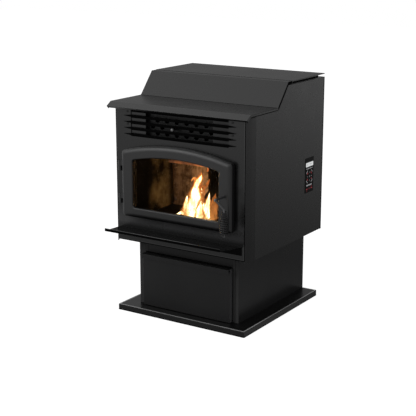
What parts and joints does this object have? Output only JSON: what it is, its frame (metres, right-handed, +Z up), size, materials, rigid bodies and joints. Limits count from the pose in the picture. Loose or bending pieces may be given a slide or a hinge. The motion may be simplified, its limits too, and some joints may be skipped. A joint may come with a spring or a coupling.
{
  "type": "pellet stove",
  "caption": "Free-standing pellet stove on a pedestal: arched glass door, mantel, hopper lid, ash drawer, hot air louvre, side control panel.",
  "frame": {"origin": "on the floor, in the middle of the overall width and depth", "axes": "+Z up, the door faces -Y, the control panel is on the +X side"},
  "size_m": [0.586, 0.7056, 0.87],
  "materials": {
    "satin_black": "satin black powder coat over sheet steel",
    "cast_black": "satin black painted casting",
    "bare_steel": "bare mild steel with heat tint",
    "galvanised": "galvanised sheet",
    "scorched_plate": "fire-browned plate",
    "door_glass": "clear ceramic glass",
    "rope_seal": "woven fibreglass rope",
    "handle_black": "black wire and bar",
    "overlay_film": "matt black film",
    "display_window": "pale liquid crystal window",
    "key_cap": "dark red key",
    "circuit_board": "green laminate",
    "motor_paint": "black enamel",
    "zinc_screw": "blackened screws",
    "ceramic_heater": "steel heater sheath"
  },
  "bodies": {
    "cabinet": {"base_plate": "satin_black", "pedestal_shell": "satin_black", "cabinet_floor": "satin_black", "side_panel_left": "satin_black", "side_panel_right": "satin_black", "rear_panel": "satin_black", "front_panel": "satin_black", "louvre_blades": "satin_black", "panel_screws": "zinc_screw", "firebox_front": "satin_black", "firebox_shell": "scorched_plate", "firebox_liners": "scorched_plate", "exchanger_face": "satin_black", "exchanger_tubes": "bare_steel", "baffle_plate": "scorched_plate", "burn_pot": "scorched_plate", "ash_chute": "bare_steel", "igniter": "ceramic_heater", "feed_chute": "scorched_plate", "auger_tube": "bare_steel", "auger_motor": "motor_paint", "hopper_bin": "galvanised", "hopper_grille": "galvanised", "hopper_seal": "rope_seal", "mantel_cover": "satin_black", "lid_hinges": "bare_steel", "exhaust_housing": "galvanised", "exhaust_motor": "motor_paint", "exhaust_outlet": "galvanised", "air_intake": "galvanised", "convection_housing": "galvanised", "convection_motor": "motor_paint", "power_inlet": "overlay_film", "control_overlay": "overlay_film", "control_display": "display_window", "control_board": "circuit_board", "latch_keeper": "bare_steel", "ash_lip": "satin_black", "door_hinges": "cast_black", "drawer_runners": "bare_steel"},
    "door": {"door_frame": "cast_black", "door_glass": "door_glass", "glass_clips": "bare_steel", "door_rope": "rope_seal"},
    "door_handle": {"handle_rod": "handle_black", "coil_grip": "handle_black"},
    "lid": {"hopper_lid": "satin_black"},
    "ash_drawer": {"drawer_front": "satin_black", "ash_pan": "galvanised"},
    "tube_scraper": {"scraper_rod": "bare_steel", "scraper_plate": "bare_steel"},
    "auger": {"auger_screw": "bare_steel"},
    "exhaust_fan": {"exhaust_impeller": "bare_steel"},
    "convection_fan": {"convection_wheel": "galvanised"},
    "key_ok": {"key_ok": "key_cap"},
    "key_up": {"key_up": "key_cap"},
    "key_down": {"key_down": "key_cap"},
    "key_left": {"key_left": "key_cap"},
    "key_right": {"key_right": "key_cap"},
    "key_power": {"key_power": "key_cap"}
  },
  "joints": [
    {"name": "door_hinge", "type": "hinge", "parent": "cabinet", "child": "door", "pos_m": [-0.246, -0.25275, 0.4955], "axis": [0, 0, -1], "range_deg": [0, 120]},
    {"name": "handle_turn", "type": "hinge", "parent": "door", "child": "door_handle", "pos_m": [0.206, -0.32175, 0.503], "axis": [0, -1, 0], "range_deg": [0, 80]},
    {"name": "lid_hinge", "type": "hinge", "parent": "cabinet", "child": "lid", "pos_m": [0, 0.28175, 0.863], "axis": [-1, 0, 0], "range_deg": [0, 85]},
    {"name": "drawer_slide", "type": "slide", "parent": "cabinet", "child": "ash_drawer", "axis": [0, -1, 0], "range_m": [0, 0.3]},
    {"name": "scraper_slide", "type": "slide", "parent": "cabinet", "child": "tube_scraper", "axis": [0, -1, 0], "range_m": [0, 0.15]},
    {"name": "auger_turn", "type": "hinge", "parent": "cabinet", "child": "auger", "pos_m": [0, 0.04325, 0.505], "axis": [0, 0.866, -0.5], "continuous": true},
    {"name": "exhaust_fan_spin", "type": "hinge", "parent": "cabinet", "child": "exhaust_fan", "pos_m": [-0.12, 0.15325, 0.383], "axis": [1, 0, 0], "continuous": true},
    {"name": "convection_fan_spin", "type": "hinge", "parent": "cabinet", "child": "convection_fan", "pos_m": [0.11, 0.10325, 0.376], "axis": [1, 0, 0], "continuous": true},
    {"name": "key_ok_press", "type": "slide", "parent": "cabinet", "child": "key_ok", "axis": [-1, 0, 0], "range_m": [0, 0.001], "stiffness_N_per_m": 400},
    {"name": "key_up_press", "type": "slide", "parent": "cabinet", "child": "key_up", "axis": [-1, 0, 0], "range_m": [0, 0.001], "stiffness_N_per_m": 400},
    {"name": "key_down_press", "type": "slide", "parent": "cabinet", "child": "key_down", "axis": [-1, 0, 0], "range_m": [0, 0.001], "stiffness_N_per_m": 400},
    {"name": "key_left_press", "type": "slide", "parent": "cabinet", "child": "key_left", "axis": [-1, 0, 0], "range_m": [0, 0.001], "stiffness_N_per_m": 400},
    {"name": "key_right_press", "type": "slide", "parent": "cabinet", "child": "key_right", "axis": [-1, 0, 0], "range_m": [0, 0.001], "stiffness_N_per_m": 400},
    {"name": "key_power_press", "type": "slide", "parent": "cabinet", "child": "key_power", "axis": [-1, 0, 0], "range_m": [0, 0.001], "stiffness_N_per_m": 400}
  ]
}
